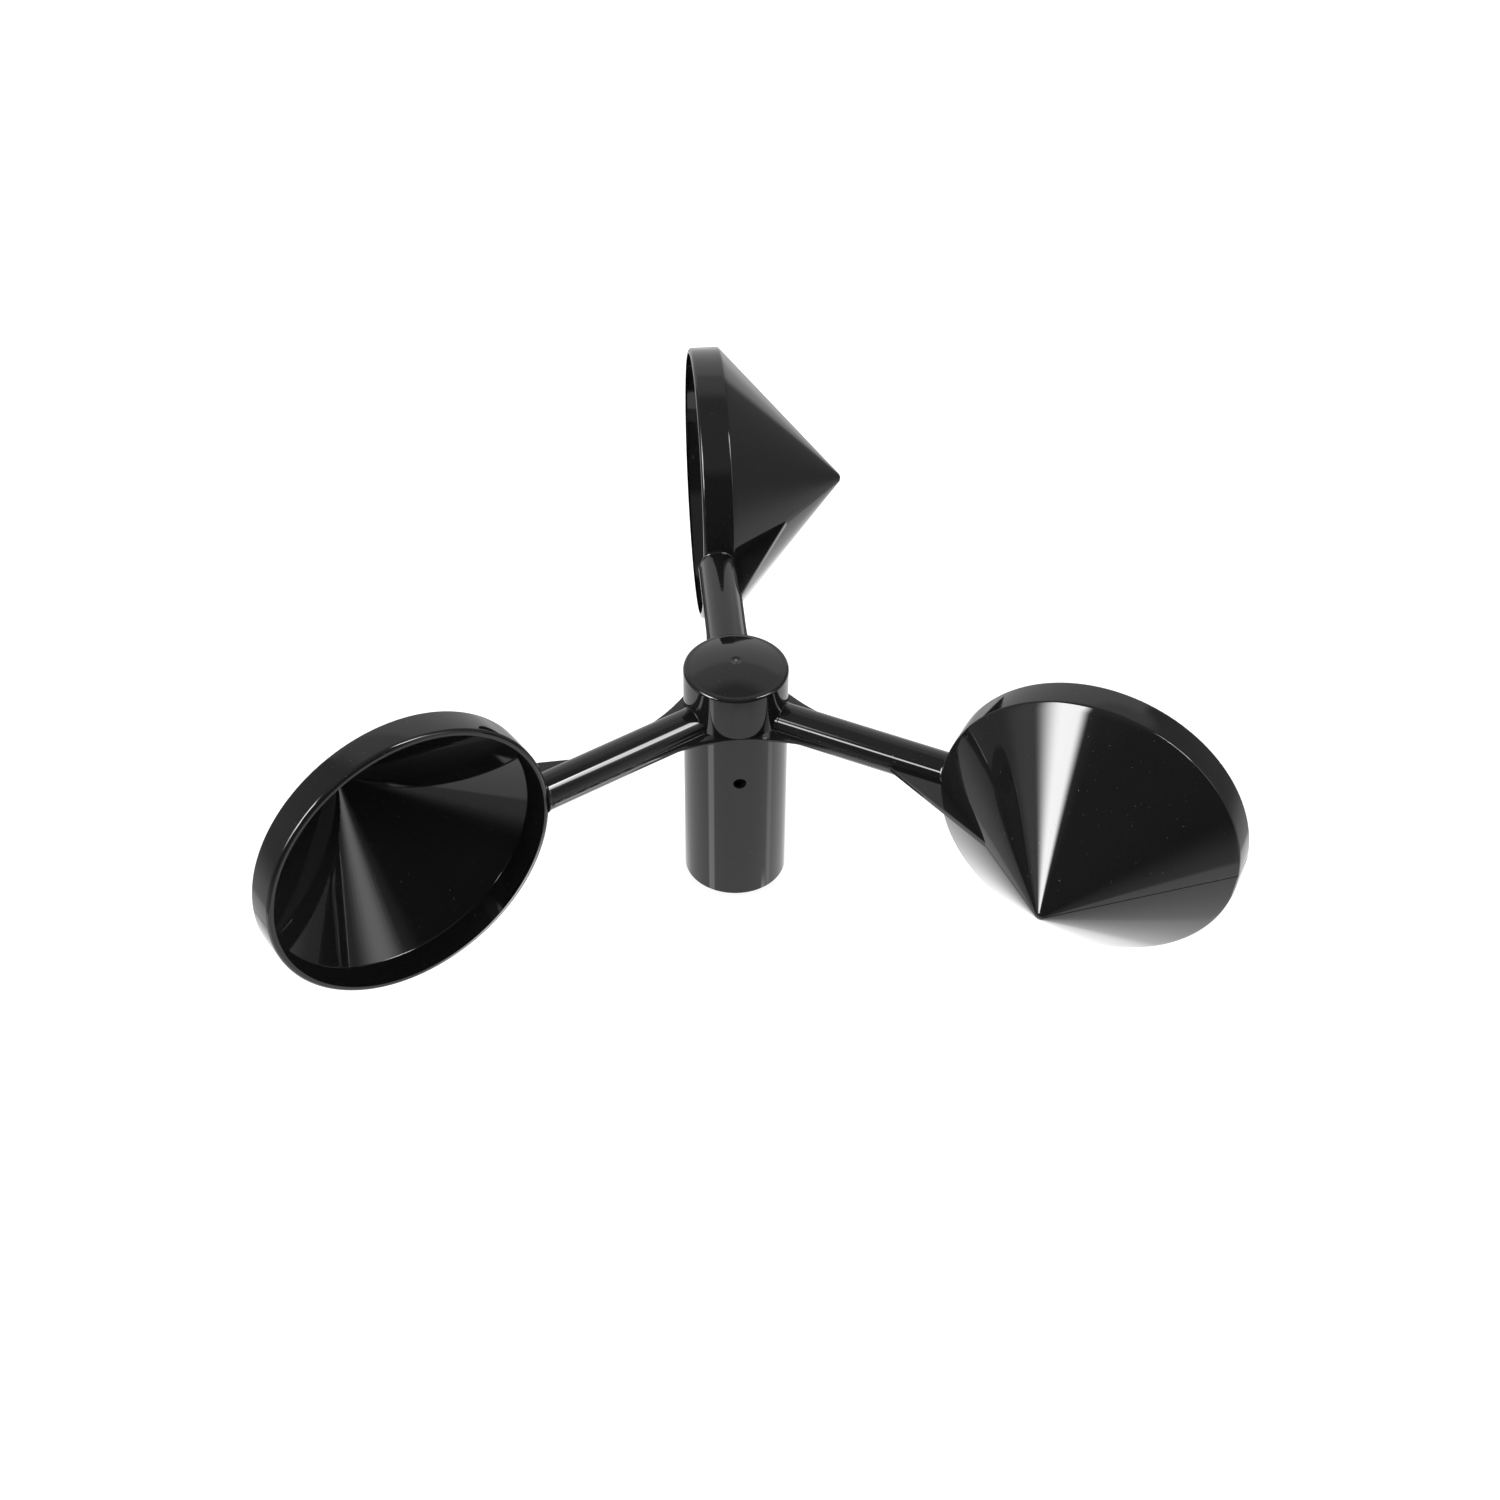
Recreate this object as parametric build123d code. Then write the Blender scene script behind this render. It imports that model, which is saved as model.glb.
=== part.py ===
from build123d import *
import math
import os

# Three-cup anemometer wheel on its ball-bearing spindle. Millimetres.
# The origin is the centre of the spindle foot's underside, +Z runs up the spin axis,
# and the rear arm points along +Y.

# Overall layout
foot_thickness = 0.3
foot_gap = 0.3
sleeve_bottom = foot_thickness + foot_gap
arm_plane = sleeve_bottom + 14.35
arm_azimuth = {"rear": 90.0, "left": 210.0, "right": 330.0}
arm_half_spacing = math.radians(60)

# Hub and sleeve
hub_radius = 3.5
hub_rim_height = arm_plane + 3.4
dome_rise = 0.57
rim_round = 0.3
bottom_chamfer = 0.2
bore_radius = 2.5
recess_radius = 1.95
recess_height = 1.35
pin_hole_radius = 0.44
pin_height = arm_plane - 3.9
pin_recess = 0.45

# Arms: a round rod with a fin along both sides, a thin web that sweeps into its neighbours,
# and a gusset at the cup
arm_radius = 1.25
fin_reach = 1.4
web_thickness = 0.2
web_reach = 0.05
gusset_thickness = 0.4
gusset_start = 11.8
gusset_slope = 0.487

# Cups: a short rim band and a cone with a rounded tip
cup_centre_radius = 25.2
cup_radius = 10.0
band_front = 1.0
band_back = -1.15
cup_tip = -9.9
tip_round = 0.5
rim_wall = 0.55
cone_wall = 0.6
inner_tip_radius = 0.35

# Miniature ball bearings, 2 x 5 x 2.5
bearing_bore_radius = 1.0
bearing_outer_radius = bore_radius
bearing_width = 2.5
inner_land_radius = 1.48
outer_land_radius = 2.0
pitch_radius = 1.75
ball_radius = 0.4
ball_clearance = 0.03
ball_count = 7
cage_inner_radius = 1.62
cage_outer_radius = 1.88
cage_height = 1.1
shield_inner_radius = 1.56
shield_thickness = 0.12
shield_recess = 0.1

# Spindle and what is stacked on it
spindle_radius = bearing_bore_radius
spindle_shoulder_radius = 1.3
foot_radius = 2.4
thread_radius = 0.625
thread_depth = 3.2
end_bush_thickness = 1.0
end_bush_bore_radius = 1.6
magnet_length = 2.6
magnet_bore_radius = 1.75
spacer_wall = 0.4
clip_thickness = 0.3
clip_radius = 1.5
groove_radius = 0.75
clip_gap_width = 1.1
spindle_tip_above_clip = 0.5
spindle_chamfer = 0.2

# Heights of the stack
bush_top = sleeve_bottom + end_bush_thickness
lower_bearing_bottom = bush_top + magnet_length
lower_bearing_top = lower_bearing_bottom + bearing_width
upper_bearing_bottom = arm_plane - 1.5
upper_bearing_top = upper_bearing_bottom + bearing_width
clip_top = upper_bearing_top + clip_thickness
spindle_top = clip_top + spindle_tip_above_clip

# The cone's half angle comes from the band's back edge and the ball-shaped tip
tip_centre = cup_tip + tip_round
edge_to_tip = math.hypot(cup_radius, band_back - tip_centre)
cone_angle = math.atan2(cup_radius, band_back - tip_centre) - math.asin(tip_round / edge_to_tip)
cone_apex = tip_centre - tip_round / math.sin(cone_angle)
inner_apex = cone_apex + cone_wall / math.sin(cone_angle)
inner_radius = cup_radius - rim_wall
inner_cone_start = inner_apex + inner_radius / math.tan(cone_angle)
inner_tip_flat = inner_apex + inner_tip_radius / math.tan(cone_angle)


def tube(outer, inner, low, high):
    """A round tube about the spin axis between two heights."""
    wall = Pos(0, 0, (low + high) / 2) * Cylinder(outer, high - low)
    return wall - Pos(0, 0, (low + high) / 2) * Cylinder(inner, 2 * (high - low))


def turned(points):
    """A solid turned about the Z axis from corner points given as (radius, height)."""
    outline = Polyline(*[(radius, 0, height) for radius, height in points], close=True)
    return revolve(make_face(outline), Axis.Z)


def cup_place(azimuth):
    """The cup's own frame: local X points outwards, local Z out of the mouth."""
    angle = math.radians(azimuth)
    outwards = Vector(math.cos(angle), math.sin(angle), 0)
    mouth = Vector(-math.sin(angle), math.cos(angle), 0)
    centre = outwards * cup_centre_radius + Vector(0, 0, arm_plane)
    return Plane(origin=centre, x_dir=outwards, z_dir=mouth)


def cup_envelope():
    """The cup's outer shape as a full solid, in the cup's own frame."""
    side = (tip_round * math.cos(cone_angle), tip_centre - tip_round * math.sin(cone_angle))
    middle_angle = (math.pi / 2 + cone_angle) / 2
    middle = (tip_round * math.cos(middle_angle), tip_centre - tip_round * math.sin(middle_angle))
    tip = ThreePointArc((0, 0, cup_tip), (middle[0], 0, middle[1]), (side[0], 0, side[1]))
    flank = Polyline((side[0], 0, side[1]), (cup_radius, 0, band_back), (cup_radius, 0, band_front),
                     (0, 0, band_front), (0, 0, cup_tip))
    return revolve(make_face([tip, flank]), Axis.Z)


def cup_hollow():
    """The space inside the cup, in the cup's own frame."""
    clear_of_mouth = 2 * band_front
    return turned([(0, inner_tip_flat), (inner_tip_radius, inner_tip_flat),
                   (inner_radius, inner_cone_start), (inner_radius, clear_of_mouth), (0, clear_of_mouth)])


def cup(azimuth):
    shell = cup_envelope() - cup_hollow()
    return cup_place(azimuth) * shell


def arm(azimuth):
    """Rod, fin, web and gusset, trimmed to the hub's and the cup's outer surfaces."""
    rod_end = cup_centre_radius - cup_radius / 2
    rod = Pos(rod_end / 2, 0, 0) * (Rot(0, 90, 0) * Cylinder(arm_radius, rod_end))
    fin = Pos(rod_end / 2, 0, 0) * Box(rod_end, 2 * fin_reach, web_thickness)

    # The web's edge is an arc that leaves the fin tangentially and just passes the hub
    touch_radius = hub_radius + web_reach
    arc_centre = (touch_radius - fin_reach) / (1 - math.sin(arm_half_spacing))
    arc_radius = arc_centre - touch_radius
    leave = arc_centre / 2
    arc_height = leave * math.tan(arm_half_spacing)
    sector = Polyline((0, 0), (leave, 0), (leave, arc_height), close=True)
    web_half = extrude(make_face(sector), web_thickness / 2, both=True)
    arc_cutter = Pos(leave, arc_height, 0) * Cylinder(arc_radius, 2 * web_thickness)
    web_half = web_half - arc_cutter
    web = web_half + mirror(web_half, Plane.XZ)

    # The gusset is a flat plate on the side of the cone's tip
    far = cup_centre_radius
    far_depth = fin_reach + gusset_slope * (far - gusset_start)
    gusset_outline = Polyline((gusset_start, 0), (gusset_start, -fin_reach), (far, -far_depth), (far, 0),
                              close=True)
    gusset = extrude(make_face(gusset_outline), gusset_thickness / 2, both=True)

    turned_arm = Pos(0, 0, arm_plane) * (Rot(0, 0, azimuth) * (rod + fin + web + gusset))
    band_cutter = Pos(0, 0, band_back + 2 * arm_radius) * Cylinder(cup_radius, 4 * arm_radius)
    hub_cylinder = Pos(0, 0, arm_plane) * Cylinder(hub_radius, 4 * arm_radius)
    place = cup_place(azimuth)
    trimmed = turned_arm - hub_cylinder - place * cup_envelope() - place * band_cutter
    return trimmed.solids().sort_by(SortBy.VOLUME)[-1]


def hub_sleeve():
    """Hub and long sleeve in one, bored from below, with the pin's hole in its side."""
    rim = hub_rim_height - rim_round
    dome = Polyline((0, 0, sleeve_bottom), (hub_radius - bottom_chamfer, 0, sleeve_bottom),
                    (hub_radius, 0, sleeve_bottom + bottom_chamfer), (hub_radius, 0, rim))
    edge_middle = (hub_radius - rim_round * (1 - math.sin(math.radians(45))),
                   rim + rim_round * math.sin(math.radians(45)))
    edge = ThreePointArc((hub_radius, 0, rim), (edge_middle[0], 0, edge_middle[1]),
                         (hub_radius - rim_round, 0, hub_rim_height))
    dome_span = hub_radius - rim_round
    dome_radius = (dome_span ** 2 + dome_rise ** 2) / (2 * dome_rise)
    half_span = dome_span / 2
    half_rise = dome_rise - (dome_radius - math.sqrt(dome_radius ** 2 - half_span ** 2))
    crown = ThreePointArc((dome_span, 0, hub_rim_height), (half_span, 0, hub_rim_height + half_rise),
                          (0, 0, hub_rim_height + dome_rise))
    axis_line = Line((0, 0, hub_rim_height + dome_rise), (0, 0, sleeve_bottom))
    body = revolve(make_face([dome, edge, crown, axis_line]), Axis.Z)

    bore_length = upper_bearing_top - sleeve_bottom
    bore = Pos(0, 0, sleeve_bottom + bore_length / 2) * Cylinder(bore_radius, bore_length)
    recess = Pos(0, 0, upper_bearing_top + recess_height / 2) * Cylinder(recess_radius, recess_height)
    side_hole = Pos(0, -hub_radius, pin_height) * (Rot(90, 0, 0) * Cylinder(pin_hole_radius, hub_radius))
    return body - bore - recess - side_hole


def outer_spacer():
    """Keeps the two outer rings apart, and is keyed by the pin in the sleeve's side."""
    wall = tube(bore_radius, bore_radius - spacer_wall, lower_bearing_top, upper_bearing_bottom)
    pin_hole = Rot(90, 0, 0) * Cylinder(pin_hole_radius, bore_radius)
    return wall - Pos(0, -bore_radius, pin_height) * pin_hole


def inner_spacer():
    return tube(spindle_radius + spacer_wall, spindle_radius, lower_bearing_top, upper_bearing_bottom)


def spacer_pin():
    inner_end = bore_radius - spacer_wall
    outer_end = hub_radius - pin_recess
    shank = Rot(90, 0, 0) * Cylinder(pin_hole_radius, outer_end - inner_end)
    return Pos(0, -(inner_end + outer_end) / 2, pin_height) * shank


def spindle():
    """Fixed post: foot, shoulder, bearing seat, clip groove, and a tapped hole from below."""
    blank = turned([
        (0, 0), (foot_radius, 0), (foot_radius, foot_thickness),
        (spindle_shoulder_radius, foot_thickness), (spindle_shoulder_radius, lower_bearing_bottom),
        (spindle_radius, lower_bearing_bottom), (spindle_radius, upper_bearing_top),
        (groove_radius, upper_bearing_top), (groove_radius, clip_top), (spindle_radius, clip_top),
        (spindle_radius, spindle_top - spindle_chamfer), (spindle_radius - spindle_chamfer, spindle_top),
        (0, spindle_top)])
    return blank - Pos(0, 0, thread_depth / 2) * Cylinder(thread_radius, thread_depth)


def retaining_clip():
    """Snap ring with one gap, in the spindle's groove on top of the upper inner ring."""
    ring = tube(clip_radius, groove_radius, upper_bearing_top, clip_top)
    middle = (upper_bearing_top + clip_top) / 2
    gap = Pos(clip_radius, 0, middle) * Box(2 * clip_radius, clip_gap_width, 2 * clip_thickness)
    return ring - gap


def magnet_ring():
    return tube(bore_radius, magnet_bore_radius, bush_top, lower_bearing_bottom)


def end_bush():
    return tube(bore_radius, end_bush_bore_radius, sleeve_bottom, bush_top)


def race_groove(middle):
    groove = Torus(pitch_radius, ball_radius + ball_clearance)
    return Pos(0, 0, middle) * groove


def outer_ring(bottom):
    wall = tube(bearing_outer_radius, outer_land_radius, bottom, bottom + bearing_width)
    return wall - race_groove(bottom + bearing_width / 2)


def inner_ring(bottom):
    wall = tube(inner_land_radius, bearing_bore_radius, bottom, bottom + bearing_width)
    return wall - race_groove(bottom + bearing_width / 2)


def ball_places(bottom):
    """One place for each ball, turned so that its local X axis points outwards."""
    middle = Pos(0, 0, bottom + bearing_width / 2)
    step = 360 / ball_count
    return [middle * Rot(0, 0, step * index) * Pos(pitch_radius, 0, 0) for index in range(ball_count)]


def balls(bottom):
    return Compound(children=[place * Sphere(ball_radius) for place in ball_places(bottom)])


def cage(bottom):
    """A ring with one round pocket, drilled outwards, for each ball."""
    middle = bottom + bearing_width / 2
    ring = tube(cage_outer_radius, cage_inner_radius, middle - cage_height / 2, middle + cage_height / 2)
    pocket = Rot(0, 90, 0) * Cylinder(ball_radius + ball_clearance, 2 * ball_radius)
    for place in ball_places(bottom):
        ring = ring - place * pocket
    return ring


def shield(low):
    return tube(outer_land_radius, shield_inner_radius, low, low + shield_thickness)


def bearing(name, bottom):
    """Every piece of one shielded ball bearing, by node name."""
    top_shield = bottom + bearing_width - shield_recess - shield_thickness
    return {
        name + "_outer_ring": outer_ring(bottom),
        name + "_inner_ring": inner_ring(bottom),
        name + "_balls": balls(bottom),
        name + "_cage": cage(bottom),
        name + "_shield_top": shield(top_shield),
        name + "_shield_bottom": shield(bottom + shield_recess),
    }


def write_parts():
    nodes = {"hub_sleeve": hub_sleeve()}
    for side, azimuth in arm_azimuth.items():
        nodes["arm_" + side] = arm(azimuth)
        nodes["cup_" + side] = cup(azimuth)
    nodes["spindle"] = spindle()
    nodes.update(bearing("lower_bearing", lower_bearing_bottom))
    nodes.update(bearing("upper_bearing", upper_bearing_bottom))
    nodes["outer_spacer"] = outer_spacer()
    nodes["inner_spacer"] = inner_spacer()
    nodes["spacer_pin"] = spacer_pin()
    nodes["retaining_clip"] = retaining_clip()
    nodes["magnet_ring"] = magnet_ring()
    nodes["end_bush"] = end_bush()
    os.makedirs("parts", exist_ok=True)
    for name, shape in nodes.items():
        export_step(shape, "parts/" + name + ".step")


write_parts()
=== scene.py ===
import math

import bmesh
import bpy
from mathutils import Matrix, Vector


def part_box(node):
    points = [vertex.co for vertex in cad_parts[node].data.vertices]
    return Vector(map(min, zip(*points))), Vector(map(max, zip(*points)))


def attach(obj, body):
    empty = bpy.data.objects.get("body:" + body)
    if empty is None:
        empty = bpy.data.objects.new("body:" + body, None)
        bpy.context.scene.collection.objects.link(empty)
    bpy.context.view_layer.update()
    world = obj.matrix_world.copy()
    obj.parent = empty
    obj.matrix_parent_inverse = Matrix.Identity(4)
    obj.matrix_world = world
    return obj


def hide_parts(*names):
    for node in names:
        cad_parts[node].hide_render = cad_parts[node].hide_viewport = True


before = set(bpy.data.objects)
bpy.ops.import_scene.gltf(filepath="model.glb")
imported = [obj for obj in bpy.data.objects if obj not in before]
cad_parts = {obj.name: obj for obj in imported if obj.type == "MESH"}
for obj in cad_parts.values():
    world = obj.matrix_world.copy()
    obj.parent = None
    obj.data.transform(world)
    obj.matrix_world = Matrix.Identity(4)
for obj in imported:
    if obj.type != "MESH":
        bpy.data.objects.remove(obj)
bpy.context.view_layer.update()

MM = 0.001

# ---------------------------------------------------------------------------------------------
# Hub and sleeve: one gloss-black ABS moulding, a shallow-domed hub drawn out into a long bored
# sleeve. The mould fills it through a pin gate on top, which leaves a nub in a small dimple.
# A hole in the sleeve's side takes the pin that keys the bearing spacer.


class Wire:
    """A socket of a node tree. Arithmetic on wires adds the Math nodes it needs."""

    def __init__(self, tree, socket):
        self.tree = tree
        self.socket = socket

    def maths(self, operation, first, second=0.0):
        """The result of a Math node on two wires or numbers."""
        node = self.tree.nodes.new("ShaderNodeMath")
        node.operation = operation
        feed(self.tree, node.inputs[0], first)
        feed(self.tree, node.inputs[1], second)
        return Wire(self.tree, node.outputs[0])

    def __add__(self, other):
        return self.maths("ADD", self, other)

    def __radd__(self, other):
        return self.maths("ADD", other, self)

    def __sub__(self, other):
        return self.maths("SUBTRACT", self, other)

    def __rsub__(self, other):
        return self.maths("SUBTRACT", other, self)

    def __mul__(self, other):
        return self.maths("MULTIPLY", self, other)

    def __rmul__(self, other):
        return self.maths("MULTIPLY", other, self)

    def __truediv__(self, other):
        return self.maths("DIVIDE", self, other)

    def function(self, operation, other=0.0):
        """This wire through a Math node, for what has no sign of its own, such as SQRT."""
        return self.maths(operation, self, other)


def feed(tree, socket, value):
    """Links a wire into a socket, or sets the socket's own value."""
    if isinstance(value, Wire):
        tree.links.new(value.socket, socket)
    else:
        socket.default_value = value


class Bench:
    """Adds nodes to one tree."""

    def __init__(self, tree):
        self.tree = tree
        tree.nodes.clear()

    def node(self, kind, settings=(), sockets=()):
        """A node with its settings made first, then the values or wires of its sockets."""
        made = self.tree.nodes.new(kind)
        for name, value in dict(settings).items():
            setattr(made, name, value)
        for name, value in dict(sockets).items():
            feed(self.tree, made.inputs[name], value)
        return made

    def wire(self, made, output=0):
        """One output of a node, by index or name."""
        return Wire(self.tree, made.outputs[output])

    def step(self, value, low, high):
        """Rises smoothly from 0 at low to 1 at high."""
        ramp = self.node("ShaderNodeMapRange", {"interpolation_type": "SMOOTHSTEP"},
                         {"Value": value, "From Min": low, "From Max": high})
        return self.wire(ramp)

    def axes(self, vector):
        """The X, Y and Z wires of a vector."""
        split = self.node("ShaderNodeSeparateXYZ", {}, {"Vector": vector})
        return [Wire(self.tree, split.outputs[axis]) for axis in "XYZ"]

    def blend(self, factor, first, second):
        """The colour that goes from first to second as factor goes from 0 to 1."""
        mix = self.node("ShaderNodeMix", {"data_type": "RGBA"}, {"Factor": factor, 6: first, 7: second})
        return self.wire(mix, 2)


def new_finish(name):
    """A material with a Principled shader, and the bench to wire it on."""
    material = bpy.data.materials.new(name)
    material.use_nodes = True
    bench = Bench(material.node_tree)
    shader = bench.node("ShaderNodeBsdfPrincipled")
    output = bench.node("ShaderNodeOutputMaterial")
    material.node_tree.links.new(shader.outputs["BSDF"], output.inputs["Surface"])
    coords = bench.wire(bench.node("ShaderNodeTexCoord"), "Object")
    return material, bench, shader, coords


def noise(bench, coords, size, detail=2.0, offset=(0.0, 0.0, 0.0), squeeze=(1.0, 1.0, 1.0)):
    """Noise whose lumps are about size metres across."""
    moved = bench.node("ShaderNodeMapping", {}, {"Vector": coords, "Location": offset, "Scale": squeeze})
    made = bench.node("ShaderNodeTexNoise", {}, {"Vector": bench.wire(moved), "Scale": 1.0 / size,
                                                 "Detail": detail, "Roughness": 0.55})
    return bench.wire(made, "Fac")


def black_abs(torn_highlight_above, torn_highlight_radius):
    """Polished-mould ABS: near black, glossy, with faint sink ripples, peel and dust. Where the
    gate was twisted off, round the axis above a given height, it is torn and matt. Its colour there is paler:
    partly the torn plastic's own whitening, partly a painted highlight for the nub's light dot."""
    material, bench, shader, coords = new_finish("black_abs")
    east, north, height = bench.axes(coords)
    off_axis = (east * east + north * north).function("SQRT")
    on_top = bench.step(height, torn_highlight_above - 0.1 * MM, torn_highlight_above)
    # The torn gate's pale patch is partly real whitened plastic and partly a painted highlight for the light
    # dot the nub reflects
    torn_and_painted_highlight = on_top * (1.0 - bench.step(off_axis, torn_highlight_radius * 0.5, torn_highlight_radius))
    cloud = noise(bench, coords, 6 * MM, 3.0)
    smear = noise(bench, coords, 1.6 * MM, 4.0, offset=(0.3, 0.1, 0.7), squeeze=(1.0, 1.0, 0.35))
    dust = noise(bench, coords, 0.16 * MM, 1.0, offset=(0.9, 0.2, 0.4))
    speck = bench.step(dust, 0.75, 0.80)
    shade = bench.blend(cloud, (0.0050, 0.0050, 0.0052, 1), (0.0078, 0.0078, 0.0081, 1))
    dusty = bench.blend(speck * 0.35, shade, (0.12, 0.12, 0.115, 1))
    # The pale torn colour is partly a painted highlight on the gate nub
    feed(bench.tree, shader.inputs["Base Color"], bench.blend(torn_and_painted_highlight, dusty, (0.13, 0.13, 0.13, 1)))
    rough = 0.02 + bench.step(smear, 0.4, 0.75) * 0.04 + cloud * 0.01 + speck * 0.2 + torn_and_painted_highlight * 0.4
    feed(bench.tree, shader.inputs["Roughness"], rough)
    shader.inputs["IOR"].default_value = 1.5
    ripple = noise(bench, coords, 3.2 * MM, 1.0, offset=(0.1, 0.5, 0.2))
    peel = noise(bench, coords, 0.45 * MM, 2.0)
    relief = ripple * 1.0 + peel * 0.06 + speck * 0.15
    bump = bench.node("ShaderNodeBump", {}, {"Strength": 0.25, "Distance": 0.006 * MM, "Height": relief})
    feed(bench.tree, shader.inputs["Normal"], bench.wire(bump))
    return material


def rounded(corners, widest_step=math.radians(12)):
    """An outline from corners (x, y, radius): each corner with a radius becomes an arc, made of
    steps no wider than widest_step."""
    outline = []
    for place, (x, y, radius) in enumerate(corners):
        here = Vector((x, y))
        if radius == 0:
            outline.append(here)
            continue
        before = (Vector(corners[place - 1][:2]) - here).normalized()
        after = (Vector(corners[place + 1][:2]) - here).normalized()
        half = before.angle(after) / 2
        middle = here + (before + after).normalized() * radius / math.sin(half)
        start = here + before * radius / math.tan(half) - middle
        sweep = math.pi - 2 * half
        turn = math.copysign(1, start.x * after.y - start.y * after.x)
        count = max(4, math.ceil(sweep / widest_step))
        for index in range(count + 1):
            angle = turn * sweep * index / count
            outline.append(middle + Matrix.Rotation(angle, 2) @ start)
    return outline


def arc(middle, radius, start, end, count):
    """Points of an arc in the outline's plane, angles in radians from the X axis."""
    angles = [start + (end - start) * index / count for index in range(count + 1)]
    return [Vector(middle) + radius * Vector((math.cos(angle), math.sin(angle))) for angle in angles]


def lathe_tree():
    """Turns an outline, given as points (radius, 0, height), about an axis, and sets it in place.
    The rings gather near 0 and 180 degrees, where the mould parts. There a fine groove is cut
    into the first points of the outline, which are the outside."""
    tree = bpy.data.node_groups.new("turned_moulding", "GeometryNodeTree")
    tree.is_modifier = True
    for name, kind in (("Outline", "NodeSocketGeometry"), ("Segments", "NodeSocketInt"),
                       ("Gather", "NodeSocketFloat"), ("Outside Points", "NodeSocketInt"),
                       ("Groove Depth", "NodeSocketFloat"), ("Groove Width", "NodeSocketFloat"),
                       ("Tilt", "NodeSocketVector"), ("Place", "NodeSocketVector"),
                       ("Finish", "NodeSocketMaterial")):
        tree.interface.new_socket(name, in_out="INPUT", socket_type=kind)
    tree.interface.new_socket("Mesh", in_out="OUTPUT", socket_type="NodeSocketGeometry")
    bench = Bench(tree)
    given = bench.node("NodeGroupInput")
    result = bench.node("NodeGroupOutput")

    def value(name):
        return Wire(tree, given.outputs[name])

    counted = bench.node("GeometryNodeAttributeDomainSize", {"component": "MESH"},
                         {"Geometry": value("Outline")})
    points = bench.wire(counted, "Point Count")
    rings = value("Segments") + 1
    grid = bench.node("GeometryNodeMeshGrid", {}, {"Size X": 1.0, "Size Y": 1.0, "Vertices X": points,
                                                   "Vertices Y": rings})
    index = bench.wire(bench.node("GeometryNodeInputIndex"))
    along = (index / rings).function("FLOOR")
    around = index - along * rings
    turn = around / value("Segments") * (2 * math.pi)
    angle = turn - value("Gather") * (turn * 2.0).function("SINE") * 0.5
    position = bench.wire(bench.node("GeometryNodeInputPosition"))
    picked = bench.node("GeometryNodeSampleIndex", {"data_type": "FLOAT_VECTOR", "domain": "POINT"},
                        {"Geometry": value("Outline"), "Value": position, "Index": along})
    smooth_radius, _, height = bench.axes(bench.wire(picked))
    off_parting = (angle.function("SINE") * smooth_radius).function("ABSOLUTE") / value("Groove Width")
    groove = (1.0 - off_parting).function("MAXIMUM", 0.0) * (value("Outside Points") - along).function("SIGN")
    inwards = groove.function("MAXIMUM", 0.0) * value("Groove Depth")
    radius = smooth_radius - inwards.function("MINIMUM", smooth_radius * 0.1)
    spot = bench.node("ShaderNodeCombineXYZ", {}, {"X": radius * angle.function("COSINE"),
                                                   "Y": radius * angle.function("SINE"),
                                                   "Z": height})
    turned = bench.node("GeometryNodeSetPosition", {},
                        {"Geometry": bench.wire(grid), "Position": bench.wire(spot)})
    closed = bench.node("GeometryNodeMergeByDistance", {}, {"Geometry": bench.wire(turned), "Distance": 1e-6})
    put = bench.node("GeometryNodeTransform", {}, {"Geometry": bench.wire(closed), "Rotation": value("Tilt"),
                                                   "Translation": value("Place")})
    smooth = bench.node("GeometryNodeSetShadeSmooth", {}, {"Geometry": bench.wire(put)})
    whole = bench.node("GeometryNodeRealizeInstances", {}, {"Geometry": bench.wire(smooth)})
    coated = bench.node("GeometryNodeSetMaterial", {},
                        {"Geometry": bench.wire(whole), "Material": value("Finish")})
    tree.links.new(coated.outputs[0], result.inputs[0])
    return tree


lathe = lathe_tree()
lathe_segments = 256
crease = math.radians(30)


def turned_piece(name, outline, finish, **inputs):
    """Runs the lathe on an outline and keeps the result as a plain mesh object."""
    mesh = bpy.data.meshes.new(name + "_outline")
    mesh.from_pydata([(point.x, 0, point.y) for point in outline],
                     [(index, index + 1) for index in range(len(outline) - 1)], [])
    blank = bpy.data.objects.new(name + "_blank", mesh)
    bpy.context.scene.collection.objects.link(blank)
    modifier = blank.modifiers.new("lathe", "NODES")
    modifier.node_group = lathe
    sockets = {item.name: item.identifier for item in lathe.interface.items_tree if item.in_out == "INPUT"}
    modifier[sockets["Finish"]] = finish
    for title, value in inputs.items():
        modifier[sockets[title.replace("_", " ").title()]] = value
    graph = bpy.context.evaluated_depsgraph_get()
    made = bpy.data.meshes.new_from_object(blank.evaluated_get(graph))
    made.name = name
    bpy.data.objects.remove(blank)
    piece = bpy.data.objects.new(name, made)
    bpy.context.scene.collection.objects.link(piece)
    tidy_mesh(made)
    return piece


def tidy_mesh(mesh):
    """Outward faces, smooth shading, and sharp edges past the crease angle."""
    work = bmesh.new()
    work.from_mesh(mesh)
    bmesh.ops.dissolve_degenerate(work, dist=1e-8, edges=work.edges)
    bmesh.ops.recalc_face_normals(work, faces=work.faces)
    work.to_mesh(mesh)
    work.free()
    mesh.shade_smooth()
    mesh.set_sharp_from_angle(angle=crease)


def mounted(piece, *nodes):
    """The piece turns with the rotor and stands for these CAD nodes."""
    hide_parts(*nodes)
    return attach(piece, "rotor")


hub_low, hub_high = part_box("hub_sleeve")
hub_radius = hub_high.x
sleeve_end = hub_low.z
hub_top = hub_high.z
dome_rise = 0.57 * MM
rim_height = hub_top - dome_rise
hub_edge = 0.28 * MM
sleeve_edge = 0.12 * MM
bore_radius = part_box("end_bush")[1].x
bearing_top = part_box("upper_bearing_outer_ring")[1].z
recess_radius = 1.95 * MM
recess_roof = bearing_top + 1.35 * MM
gate_dimple = 0.36 * MM
gate_depth = 0.05 * MM
gate_nub = 0.13 * MM
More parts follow.
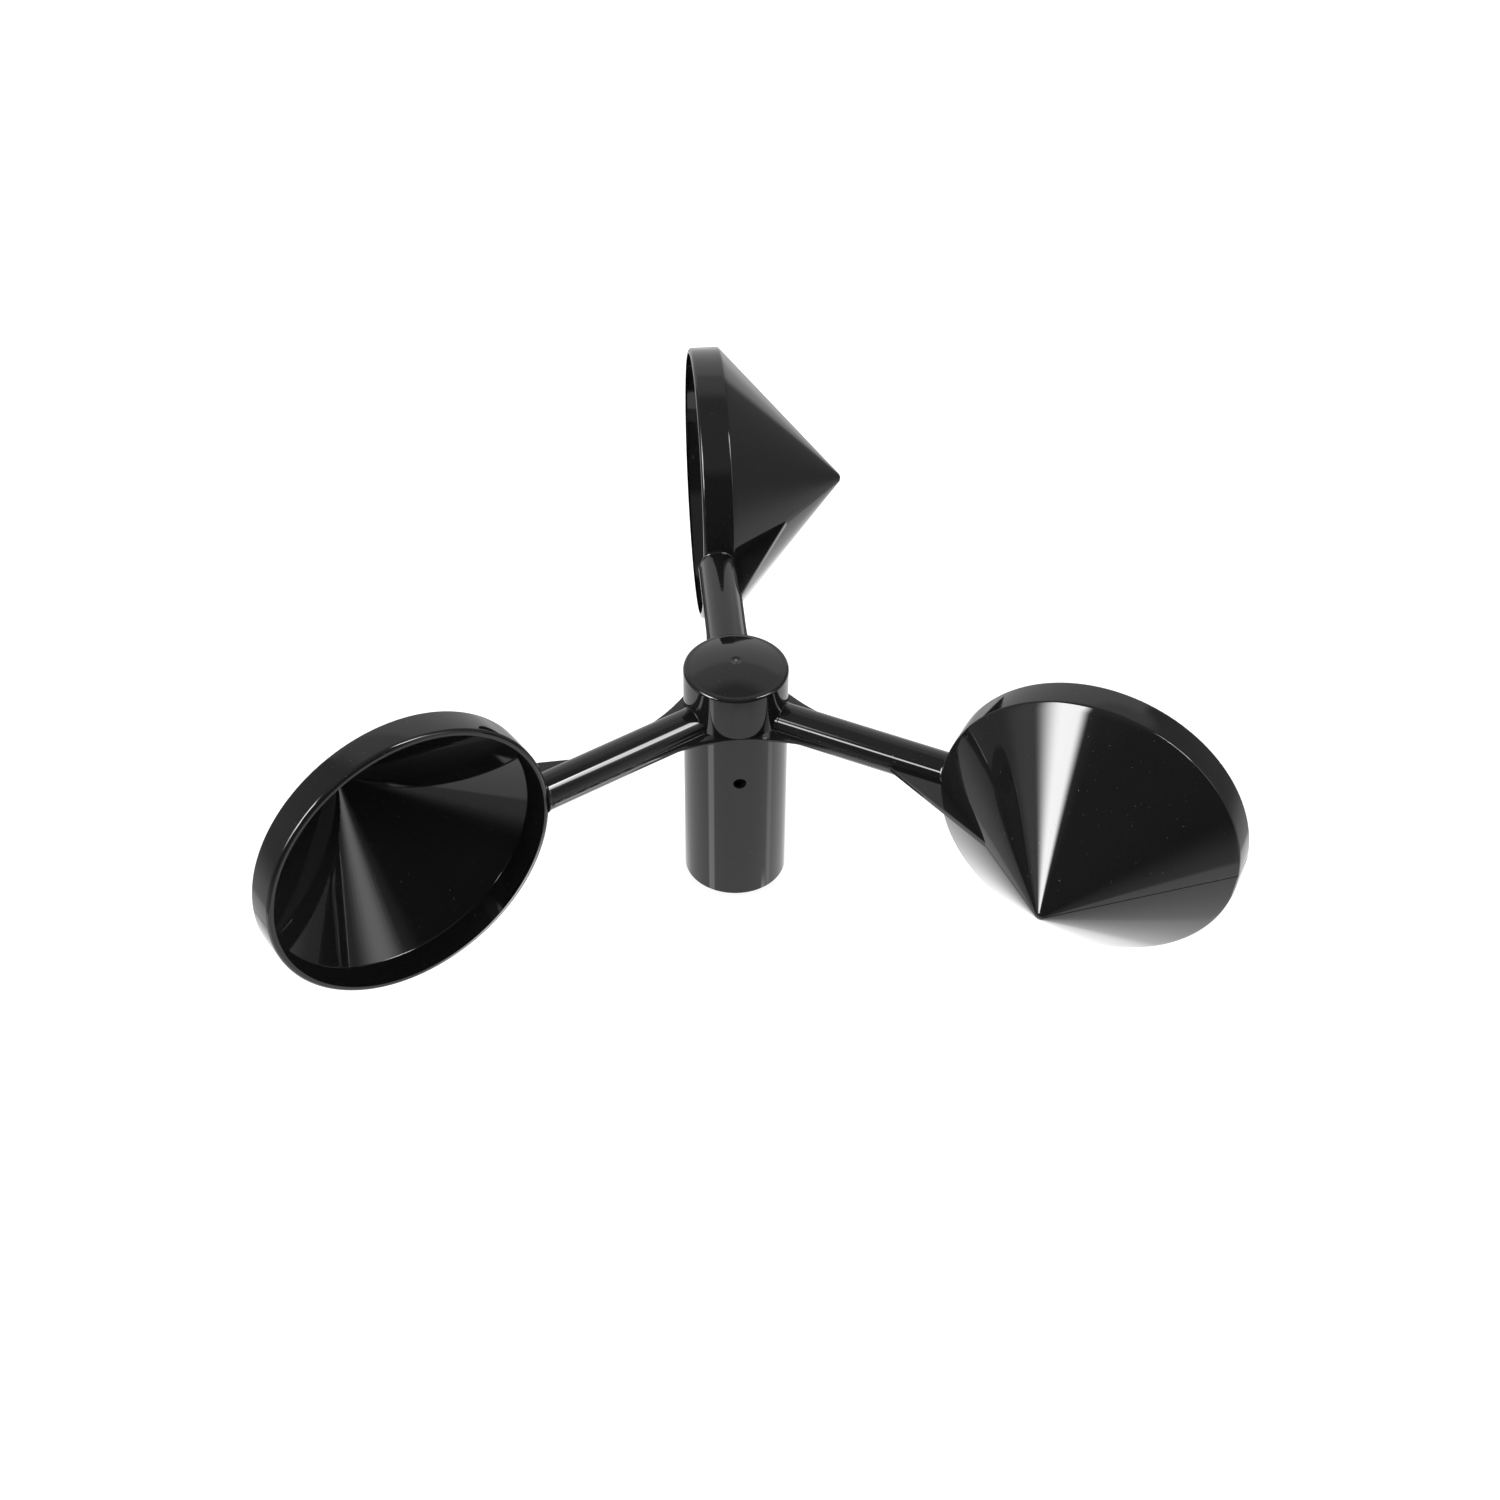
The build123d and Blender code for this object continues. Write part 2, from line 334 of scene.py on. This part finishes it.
# How far below the hub's top the pale gate patch reaches; its paleness is partly a painted highlight
torn_highlight_depth = 0.4 * MM

abs_black = black_abs(hub_top - torn_highlight_depth, gate_nub)


def hub_outline():
    """From the nub on the axis, over the dome, down the outside and back up the bore."""
    dome_span = hub_radius - hub_edge
    dome_radius = (dome_span ** 2 + dome_rise ** 2) / (2 * dome_rise)
    dome_middle = (0.0, hub_top - dome_radius)
    lean = math.asin(dome_span / dome_radius)
    dimple_lean = math.asin(gate_dimple / dome_radius)
    floor = hub_top - gate_depth
    nub = [Vector((point.x, floor + point.y * gate_depth / gate_nub))
           for point in arc((0.0, 0.0), gate_nub, math.pi / 2, 0.0, 8)]
    dimple = [Vector((gate_dimple * across, floor + gate_depth * up))
              for across, up in ((0.45, 0.0), (0.6, 0.1), (0.75, 0.3), (0.9, 0.65))]
    crown = arc(dome_middle, dome_radius, math.pi / 2 - dimple_lean, math.pi / 2 - lean, 40)
    wall = rounded([
        (crown[-2].x, crown[-2].y, 0), (hub_radius, rim_height, hub_edge * 0.8),
        (hub_radius, sleeve_end, sleeve_edge), (bore_radius, sleeve_end, sleeve_edge * 0.5),
        (bore_radius, bearing_top, 0), (recess_radius, bearing_top, 0), (recess_radius, recess_roof, 0),
        (0.0, recess_roof, 0)])
    return nub + dimple + crown[:-2] + wall


# The hub has no parting groove, but the groove's width divides, so it can't be 0
hub = turned_piece("hub_and_sleeve", hub_outline(), abs_black, segments=lathe_segments, groove_width=1.0)

# The hole in the side is drilled by a round cutter
pin_low, pin_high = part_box("spacer_pin")
hole_radius = (pin_high.x - pin_low.x) / 2
hole_height = (pin_high.z + pin_low.z) / 2
cutter_mesh = bpy.data.meshes.new("hole_cutter")
cutter_work = bmesh.new()
cutter_place = Matrix.Translation((0, -hub_radius, hole_height)) @ Matrix.Rotation(math.pi / 2, 4, "X")
bmesh.ops.create_cone(cutter_work, cap_ends=True, segments=64, radius1=hole_radius, radius2=hole_radius,
                      depth=2 * bore_radius, matrix=cutter_place)
cutter_work.to_mesh(cutter_mesh)
cutter_work.free()
cutter = bpy.data.objects.new("hole_cutter", cutter_mesh)
bpy.context.scene.collection.objects.link(cutter)
cutter_mesh.materials.append(abs_black)
drill = hub.modifiers.new("drill", "BOOLEAN")
drill.operation = "DIFFERENCE"
drill.solver = "EXACT"
drill.object = cutter
drilled = bpy.data.meshes.new_from_object(hub.evaluated_get(bpy.context.evaluated_depsgraph_get()))
hub.modifiers.clear()
hub.data = drilled
bpy.data.objects.remove(cutter)
drilled.shade_smooth()
drilled.set_sharp_from_angle(angle=crease)
mounted(hub, "hub_sleeve")

# ---------------------------------------------------------------------------------------------
# Arms: three round ABS rods, moulded with the hub. The mould parts along their middle plane, so
# each rod has a fin down both sides. It widens into a web at the hub and a gusset at the cup.

third = math.radians(120)
azimuths = {"rear": math.radians(90), "left": math.radians(210), "right": math.radians(330)}
cup_low, cup_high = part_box("cup_rear")
arm_plane = (cup_low.z + cup_high.z) / 2
cup_centre_radius = (cup_low.y + cup_high.y) / 2
cup_radius = (cup_high.z - cup_low.z) / 2
band_front = -cup_low.x
band_back = -1.15 * MM
rod_radius = 1.25 * MM
fin_reach = 1.4 * MM
web_half = 0.1 * MM
web_gap = 0.05 * MM
fin_edge = 0.025 * MM
fin_fillet = 0.03 * MM
gusset_half = 0.2 * MM
gusset_start = 11.8 * MM
gusset_slope = 0.487
band_face = cup_centre_radius - cup_radius
hub_fillet = 0.04 * MM
cup_fillet = 0.16 * MM
cup_fillet_end = band_face + 0.02 * MM
arm_inner_end = 2.95 * MM
arm_outer_end = band_face + 0.10 * MM

# The web's edge between two arms is one hollow arc that just clears the hub
web_touch = hub_radius + web_gap
web_arc_middle = (web_touch - fin_reach) / (1 - math.sin(third / 2))
web_arc_radius = web_arc_middle - web_touch


def web_reach(distance):
    """Half width of the web at a distance along the arm."""
    if distance > web_arc_middle / 2:
        return fin_reach
    run = distance - web_arc_middle / 2
    return web_arc_middle * math.sin(third / 2) - math.sqrt(web_arc_radius ** 2 - run ** 2)


def root_flare(gap, fillet):
    """How much a rod widens at a gap from the wall it grows out of."""
    run = min(max(fillet - gap, 0.0), fillet)
    return fillet - math.sqrt(fillet ** 2 - run ** 2)


def half_section(radius, reach):
    """Upper outline of rod and fin, from the fin's edge up to the top of the rod."""
    edge = arc((reach - fin_edge, web_half - fin_edge), fin_edge, 0, math.pi / 2, 3)
    fillet_up = web_half + fin_fillet
    fillet_out = math.sqrt((radius + fin_fillet) ** 2 - fillet_up ** 2)
    lean = math.atan2(fillet_up, fillet_out)
    foot = Vector((fillet_out, web_half))
    if foot.x > reach - fin_edge:
        foot = edge[-1].copy()
    flat = [edge[-1].lerp(foot, share) for share in (0.3, 0.7)]
    fillet = arc((fillet_out, fillet_up), fin_fillet, -math.pi / 2, -math.pi + lean, 4)
    rod = arc((0, 0), radius, lean, math.pi / 2, 16)
    return edge + flat + fillet + rod[1:]


def arm_sections():
    """Rings of (distance, sideways, up) points from inside the hub to inside the cup's band."""
    stops = [arm_inner_end, arm_outer_end]
    # rings crowd where the arm meets the hub and the band, and are even between
    for first, last, steps in ((hub_radius - 0.06 * MM, hub_radius + 0.14 * MM, 14),
                               (4.0 * MM, band_face - 0.4 * MM, 60),
                               (band_face - 0.2 * MM, band_face + 0.06 * MM, 14)):
        stops += [first + (last - first) * index / steps for index in range(steps + 1)]
    rings = []
    for distance in sorted(set(stops)):
        flare_in = root_flare(distance - hub_radius, hub_fillet)
        flare_out = root_flare(cup_fillet_end - distance, cup_fillet)
        radius = rod_radius + flare_in + flare_out
        upper = half_section(radius, max(web_reach(distance), radius + web_gap + fin_fillet))
        # the band is narrower than the rod, so the outer fillet only rises above and below
        keep = (rod_radius + flare_in) / radius
        quarter = [(point.x * keep, point.y) for point in upper]
        ring = quarter + [(-x, y) for x, y in reversed(quarter[:-1])]
        ring += [(-x, -y) for x, y in quarter[:-1]] + [(x, -y) for x, y in reversed(quarter)]
        ring = ring[:-1] if ring[-1] == ring[0] else ring
        rings.append([(distance, sideways, up) for sideways, up in ring])
    return rings


def skin(work, loops):
    """Faces from each loop of vertices to the next."""
    for one, two in zip(loops, loops[1:]):
        for index in range(len(one)):
            following = (index + 1) % len(one)
            work.faces.new((one[index], one[following], two[following], two[index]))


def add_loft(work, rings):
    """Skins rings of equal length and caps both ends."""
    loops = [[work.verts.new(point) for point in ring] for ring in rings]
    skin(work, loops)
    work.faces.new(loops[0])
    work.faces.new(list(reversed(loops[-1])))


def add_plate(work, outline, half_thickness, edge):
    """A flat plate with a small chamfer along its upper and lower edges."""
    middle = sum((Vector(point) for point in outline), Vector((0, 0))) / len(outline)
    inner = []
    for point in outline:
        inwards = (middle - Vector(point)).normalized() * edge
        inner.append(Vector(point) + inwards)
    layers = [[(point[0], point[1], height) for point in shape] for shape, height in (
        (inner, -half_thickness), (outline, edge - half_thickness),
        (outline, half_thickness - edge), (inner, half_thickness))]
    add_loft(work, layers)


tip_round = 0.5 * MM
cup_tip = -cup_high.x
tip_centre = cup_tip + tip_round
tip_distance = math.hypot(cup_radius, band_back - tip_centre)
cone_angle = math.atan2(cup_radius, band_back - tip_centre) - math.asin(tip_round / tip_distance)
cone_apex = tip_centre - tip_round / math.sin(cone_angle)
cone_slope = math.tan(cone_angle)


def gusset_edge(distance):
    """How far sideways the gusset's straight edge is at a distance along the arm."""
    return -fin_reach - gusset_slope * (distance - gusset_start)


def cone_face(sideways):
    """How far along the arm the cone's side is."""
    return cup_centre_radius - (sideways - cone_apex) * cone_slope


def gusset_outline():
    """Flat triangle between the rod and the cone, in (distance, sideways). It starts inside the
    rod and sinks a little into the cone's wall."""
    sink = 0.2 * MM
    in_rod = -0.9 * MM
    # halving the gap again and again finds where the straight edge meets the cone
    far = gusset_start
    for _ in range(60):
        far = (far + cone_face(gusset_edge(far))) / 2
    near = cone_face(band_back)
    return [(gusset_start - 0.6 * MM, in_rod), (gusset_start, -fin_reach),
            (far + sink, gusset_edge(far + sink)), (near + sink, band_back), (near + sink, in_rod)]


def arm(side, azimuth):
    """One rod with its fins and gusset, turned to its azimuth."""
    work = bmesh.new()
    add_loft(work, arm_sections())
    add_plate(work, gusset_outline(), gusset_half, fin_edge)
    place = Matrix.Translation((0, 0, arm_plane)) @ Matrix.Rotation(azimuth, 4, "Z")
    bmesh.ops.transform(work, matrix=place, verts=work.verts)
    mesh = bpy.data.meshes.new("arm_" + side + "_rod")
    work.to_mesh(mesh)
    work.free()
    tidy_mesh(mesh)
    mesh.materials.append(abs_black)
    piece = bpy.data.objects.new("rod_" + side, mesh)
    bpy.context.scene.collection.objects.link(piece)
    return mounted(piece, "arm_" + side)


for side, azimuth in azimuths.items():
    arm(side, azimuth)

# The web closes round the hub between the arms, as one thin scalloped ring. It is a little
# thinner than the arms' own fins, so their faces don't lie in one plane.
web_inner = hub_radius - 0.2 * MM
web_outer = 4.6 * MM
web_plate_half = 0.9 * web_half
web_shoulder = web_plate_half - 0.9 * fin_edge
web_steps = 96
web_turns = [third * index / web_steps for index in range(3 * web_steps)]


def web_edge(turn):
    """Radius of the scalloped edge, at a turn from the rear arm."""
    from_bisector = turn % third - third / 2
    reach = web_arc_radius ** 2 - (web_arc_middle * math.sin(from_bisector)) ** 2
    return min(web_arc_middle * math.cos(from_bisector) - math.sqrt(max(reach, 0.0)), web_outer)


def web_ring(work, radii, height):
    """A ring of vertices round the spin axis, one at each turn."""
    spots = [(radius * math.cos(azimuths["rear"] + turn), radius * math.sin(azimuths["rear"] + turn),
              arm_plane + height) for turn, radius in zip(web_turns, radii)]
    return [work.verts.new(spot) for spot in spots]


web_work = bmesh.new()
outer_edge = [web_edge(turn) for turn in web_turns]
chamfered_edge = [radius - fin_edge for radius in outer_edge]
bore_edge = [web_inner] * len(web_turns)
web_loops = [web_ring(web_work, radii, height) for radii, height in (
    (chamfered_edge, -web_plate_half), (outer_edge, -web_shoulder), (outer_edge, web_shoulder),
    (chamfered_edge, web_plate_half), (bore_edge, web_plate_half), (bore_edge, -web_plate_half))]
skin(web_work, web_loops + web_loops[:1])
web_mesh = bpy.data.meshes.new("hub_web")
web_work.to_mesh(web_mesh)
web_work.free()
tidy_mesh(web_mesh)
web_mesh.materials.append(abs_black)
web = bpy.data.objects.new("hub_web", web_mesh)
bpy.context.scene.collection.objects.link(web)
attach(web, "rotor")

# ---------------------------------------------------------------------------------------------
# Cups: three thin-walled ABS cones with a short straight band round the mouth. The mould parts
# across the middle of each cone and leaves a hairline flash from the band to the tip.

rim_wall = 0.55 * MM
cone_wall = 0.6 * MM
band_edge = 0.22 * MM
lip_outer_edge = 0.26 * MM
lip_inner_edge = 0.15 * MM
inner_corner = 0.18 * MM
inner_tip_round = 0.35 * MM
groove_depth = 0.03 * MM
groove_width = 0.04 * MM
cone_rings = 48
gather_to_groove = 0.95


def cup_outline():
    """From the outer tip along the cone and band, over the lip, and back to the inner tip."""
    inner_radius = cup_radius - rim_wall
    inner_apex = cone_apex + cone_wall / math.sin(cone_angle)
    inner_start = inner_apex + inner_radius / cone_slope
    inner_tip = inner_apex + inner_tip_round / math.sin(cone_angle)
    outer_tip_arc = arc((0, tip_centre), tip_round, -math.pi / 2, -cone_angle, 12)
    inner_tip_arc = arc((0, inner_tip), inner_tip_round, -cone_angle, -math.pi / 2, 8)
    last = outer_tip_arc[-1]
    first = inner_tip_arc[0]
    walls = rounded([
        (last.x, last.y, 0), (cup_radius, band_back, band_edge), (cup_radius, band_front, lip_outer_edge),
        (inner_radius, band_front, lip_inner_edge), (inner_radius, inner_start, inner_corner),
        (first.x, first.y, 0)])
    # the power crowds the cone's rings towards the tip
    cone = [last.lerp(walls[1], (step / cone_rings) ** 1.4) for step in range(cone_rings)]
    return outer_tip_arc[:-1] + cone + walls[1:] + inner_tip_arc[1:]


cup_profile = cup_outline()
lip_start = band_front - lip_outer_edge
outside_points = next(index for index, point in enumerate(cup_profile) if point.y > lip_start)

for side, azimuth in azimuths.items():
    outwards = Vector((math.cos(azimuth), math.sin(azimuth), 0))
    mouth = Vector((-math.sin(azimuth), math.cos(azimuth), 0))
    facing = Matrix((outwards, mouth.cross(outwards), mouth)).transposed()
    cup = turned_piece("cone_cup_" + side, cup_profile, abs_black, segments=lathe_segments,
                       gather=gather_to_groove, outside_points=outside_points, groove_depth=groove_depth,
                       groove_width=groove_width, tilt=facing.to_euler(),
                       place=outwards * cup_centre_radius + Vector((0, 0, arm_plane)))
    mounted(cup, "cup_" + side)

# ---------------------------------------------------------------------------------------------
# Spindle: a ground steel post, fixed to the mast by a screw into its tapped foot. The sleeve's
# bearings run on it.


def ground_steel(name, colour, roughness, line_pitch):
    """Metal with fine turning or grinding lines round the spin axis and a little staining."""
    material, bench, shader, coords = new_finish(name)
    east, north, height = bench.axes(coords)
    off_axis = (east * east + north * north).function("SQRT")
    flattened = bench.node("ShaderNodeCombineXYZ", {}, {"X": off_axis, "Y": height, "Z": 0.0})
    lines = noise(bench, bench.wire(flattened), line_pitch, 3.0)
    stain = noise(bench, coords, 1.2 * MM, 3.0, offset=(0.2, 0.4, 0.6))
    stained = [0.82 * part for part in colour]
    feed(bench.tree, shader.inputs["Base Color"], bench.blend(stain, (*colour, 1.0), (*stained, 1.0)))
    shader.inputs["Metallic"].default_value = 1.0
    feed(bench.tree, shader.inputs["Roughness"], roughness + lines * 0.14 + stain * 0.06)
    bump = bench.node("ShaderNodeBump", {}, {"Strength": 0.3, "Distance": 0.004 * MM, "Height": lines})
    feed(bench.tree, shader.inputs["Normal"], bench.wire(bump))
    return material


def refinish(material, *nodes):
    """Gives CAD nodes their finish."""
    for node in nodes:
        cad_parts[node].data.materials.clear()
        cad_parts[node].data.materials.append(material)


refinish(ground_steel("spindle_steel", (0.58, 0.58, 0.60), 0.18, 0.03 * MM), "spindle")

# ---------------------------------------------------------------------------------------------
# Bearings: two shielded miniature ball bearings. The rings are ground, the balls polished, the
# cage is brass, and each pressed shield is staked into the outer ring.

bearings = ("lower_bearing", "upper_bearing")
ring_steel = ground_steel("bearing_steel", (0.62, 0.62, 0.63), 0.12, 0.02 * MM)
shield_steel = ground_steel("shield_steel", (0.55, 0.55, 0.56), 0.26, 0.05 * MM)


def polished_ball():
    """Hardened steel lapped to a mirror, with a little haze."""
    material, bench, shader, coords = new_finish("ball_steel")
    haze = noise(bench, coords, 0.25 * MM, 3.0)
    colour = bench.blend(haze, (0.80, 0.80, 0.82, 1), (0.70, 0.70, 0.73, 1))
    feed(bench.tree, shader.inputs["Base Color"], colour)
    shader.inputs["Metallic"].default_value = 1.0
    feed(bench.tree, shader.inputs["Roughness"], 0.03 + haze * 0.06)
    return material


def pressed_brass():
    """Stamped brass with patches of tarnish."""
    material, bench, shader, coords = new_finish("cage_brass")
    tarnish = noise(bench, coords, 0.5 * MM, 4.0, offset=(0.7, 0.3, 0.1))
    grain = noise(bench, coords, 0.06 * MM, 2.0)
    colour = bench.blend(tarnish, (0.74, 0.57, 0.25, 1), (0.50, 0.36, 0.14, 1))
    feed(bench.tree, shader.inputs["Base Color"], colour)
    shader.inputs["Metallic"].default_value = 1.0
    feed(bench.tree, shader.inputs["Roughness"], 0.22 + tarnish * 0.2)
    bump = bench.node("ShaderNodeBump", {}, {"Strength": 0.2, "Distance": 0.004 * MM, "Height": grain})
    feed(bench.tree, shader.inputs["Normal"], bench.wire(bump))
    return material


ball_polish = polished_ball()
brass = pressed_brass()
for bearing in bearings:
    refinish(ring_steel, bearing + "_outer_ring", bearing + "_inner_ring")
    refinish(shield_steel, bearing + "_shield_top", bearing + "_shield_bottom")
    refinish(ball_polish, bearing + "_balls")
    refinish(brass, bearing + "_cage")

# ---------------------------------------------------------------------------------------------
# Spacers, clip and pin: two turned aluminium tubes hold the bearings apart. A spring clip in the
# spindle's groove holds the stack down and a pin keys it, both chemically blackened steel.

refinish(ground_steel("spacer_aluminium", (0.72, 0.72, 0.74), 0.24, 0.09 * MM),
         "outer_spacer", "inner_spacer")
refinish(ground_steel("blackened_steel", (0.035, 0.035, 0.038), 0.42, 0.05 * MM),
         "retaining_clip", "spacer_pin")

# ---------------------------------------------------------------------------------------------
# Magnet and end bush: a ring of plastic-bonded ferrite works the mast's switch, and a turned
# acetal bush closes the sleeve under it.


def bonded_plastic(name, light, dark, roughness, grain_size):
    """Matt filled plastic: speckled colour and a fine grain."""
    material, bench, shader, coords = new_finish(name)
    grain = noise(bench, coords, grain_size, 3.0)
    cloud = noise(bench, coords, 1.5 * MM, 2.0, offset=(0.5, 0.5, 0.5))
    feed(bench.tree, shader.inputs["Base Color"], bench.blend(bench.step(grain, 0.35, 0.7), dark, light))
    feed(bench.tree, shader.inputs["Roughness"], roughness + grain * 0.12 + cloud * 0.08)
    bump = bench.node("ShaderNodeBump", {}, {"Strength": 0.35, "Distance": 0.01 * MM, "Height": grain})
    feed(bench.tree, shader.inputs["Normal"], bench.wire(bump))
    return material


refinish(bonded_plastic("bonded_magnet", (0.085, 0.085, 0.09, 1), (0.045, 0.045, 0.05, 1), 0.5, 0.05 * MM),
         "magnet_ring")
refinish(bonded_plastic("bush_plastic", (0.035, 0.035, 0.037, 1), (0.022, 0.022, 0.024, 1), 0.3, 0.08 * MM),
         "end_bush")

# ---------------------------------------------------------------------------------------------
# Studio: a glowing white floor, a pale backdrop at the rear, a dark room behind the camera, and
# a soft box at each side. The room is painted on the world by direction, for the gloss to show.

floor_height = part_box("spindle")[0].z - 0.02 * MM
floor_mesh = bpy.data.meshes.new("studio_floor")
floor_work = bmesh.new()
bmesh.ops.create_circle(floor_work, cap_ends=True, segments=96, radius=4.0,
                        matrix=Matrix.Translation((0, 0, floor_height)))
floor_work.to_mesh(floor_mesh)
floor_work.free()
floor = bpy.data.objects.new("studio_floor", floor_mesh)
bpy.context.scene.collection.objects.link(floor)
floor_material, floor_bench, floor_shader, floor_coords = new_finish("pale_floor")
floor_grain = noise(floor_bench, floor_coords, 4 * MM, 2.0)
feed(floor_bench.tree, floor_shader.inputs["Roughness"], 0.9 + floor_grain * 0.05)
floor_shader.inputs["Base Color"].default_value = (0.35, 0.35, 0.35, 1)
floor_shader.inputs["Specular IOR Level"].default_value = 0.0
floor_shader.inputs["Emission Color"].default_value = (1, 1, 1, 1)
floor_shader.inputs["Emission Strength"].default_value = 0.88
floor_mesh.materials.append(floor_material)
floor.visible_glossy = False

world = bpy.data.worlds.new("studio")
world.use_nodes = True
bpy.context.scene.world = world
sky = Bench(world.node_tree)
east, north, rise = sky.axes(sky.wire(sky.node("ShaderNodeTexCoord"), "Generated"))
# Directions are in degrees: the bearing from the rear (+Y) towards +X, and the rise over level
bearing = east.maths("ARCTAN2", east, north) * (180 / math.pi)
rise = rise.function("ARCSINE") * (180 / math.pi)
off_rear = bearing.function("ABSOLUTE")


def band(value, low, high, soft_low, soft_high):
    """1 between low and high, fading outwards over its own distance at each side."""
    return sky.step(value, low - soft_low, low) * (1.0 - sky.step(value, high, high + soft_high))


def patch(sideways, across, across_soft, upright, upright_soft):
    """A soft-edged patch of the room: its range of bearings and of rises, each with two fades."""
    return band(sideways, *across, *across_soft) * band(rise, *upright, *upright_soft)


backdrop = patch(bearing, (-43, 36), (5, 7), (-14, 36), (14, 8))
backdrop_curve = patch(bearing, (-30, 45), (25, 15), (42, 58), (6, 14))
side_walls = patch(off_rear, (60, 95), (12, 20), (10, 34), (12, 16))
low_right = patch(bearing, (104, 126), (8, 6), (-30, -2), (8, 22))
table_rim = patch(off_rear, (0, 135), (10, 15), (-34, -28), (12, 22))
left_haze = patch(bearing, (-165, -150), (8, 5), (-40, -26), (2, 14))
room = 0.33 + backdrop * 0.76 + backdrop_curve * 0.46 + side_walls * 0.05 + low_right * 0.45
room = room + table_rim * 0.42 + left_haze * 0.28
dark_room = sky.step(off_rear, 125, 140) * band(rise, -8, 38, 20, 12)
room = room * (1.0 - dark_room * 0.90)

far_right = band(bearing, 22, 95, 10, 15)
under_rear = patch(bearing, (-42, 22), (12, 10), (-80, -47), (10, 5))
left_strip = patch(bearing, (-125, -116), (4, 5), (-70, -36), (25, 4))
right_strip = patch(bearing, (103, 107), (9, 5), (-45, -36), (4, 4))
right_glint = patch(bearing, (113, 119), (3, 4), (-52, -47), (4, 3))
table = 1.22 + far_right * 0.30 + under_rear * 0.42 + left_strip * 1.8 + right_strip * 0.8
table = table + right_glint * 9.0
on_table = 1.0 - sky.step(rise, -37, -34)
lit = room * (1.0 - on_table) + on_table * table

# The left soft box leans, so its far edge follows a slanted line
slant = bearing - rise * 0.9
left_box = sky.step(bearing, -129, -121) * (1.0 - sky.step(slant, -143, -119))
left_box = left_box * band(rise, 18, 43, 12, 4)
left_box = left_box + patch(bearing, (-136, -130), (2, 4), (25, 29), (4, 3)) * 0.7
left_glow = patch(bearing, (-114, -97), (10, 17), (14, 32), (8, 12))
right_box = patch(bearing, (107, 118), (10, 5), (40, 52), (4, 8))
right_box = right_box + patch(bearing, (110, 116), (3, 5), (56, 62), (5, 5)) * 1.6
right_glow = patch(bearing, (110, 112), (14, 15), (20, 42), (12, 6))
lit = lit + left_box * 27.0 + left_glow * 0.6 + right_box * 18.0 + right_glow * 2.9

# The camera itself sees a plain white room
seen = Wire(sky.tree, sky.node("ShaderNodeLightPath").outputs["Is Camera Ray"])
lit = lit * (1.0 - seen) + seen * 0.97
background = sky.node("ShaderNodeBackground", {}, {"Strength": lit})
surface = sky.node("ShaderNodeOutputWorld")
sky.tree.links.new(background.outputs[0], surface.inputs["Surface"])

# The camera looks down on the object from the front, a little from its left
camera_data = bpy.data.cameras.new("camera")
camera_data.sensor_width = 36.0
camera_data.lens = 61.49
camera_data.clip_start = 0.001
camera_data.clip_end = 20.0
camera = bpy.data.objects.new("camera", camera_data)
bpy.context.scene.collection.objects.link(camera)
view_back = Vector((-0.06954862, -0.74069447, 0.66823252))
view_right = Vector((0.99619612, -0.08682065, 0.00744724))
view_up = Vector((0.05250025, 0.66620859, 0.74391521))
turn = Matrix((view_right, view_up, view_back)).transposed().to_4x4()
camera.matrix_world = Matrix.Translation((-0.011126, -0.128990, 0.127260)) @ turn
bpy.context.scene.camera = camera
bpy.context.scene.view_settings.view_transform = "Standard"
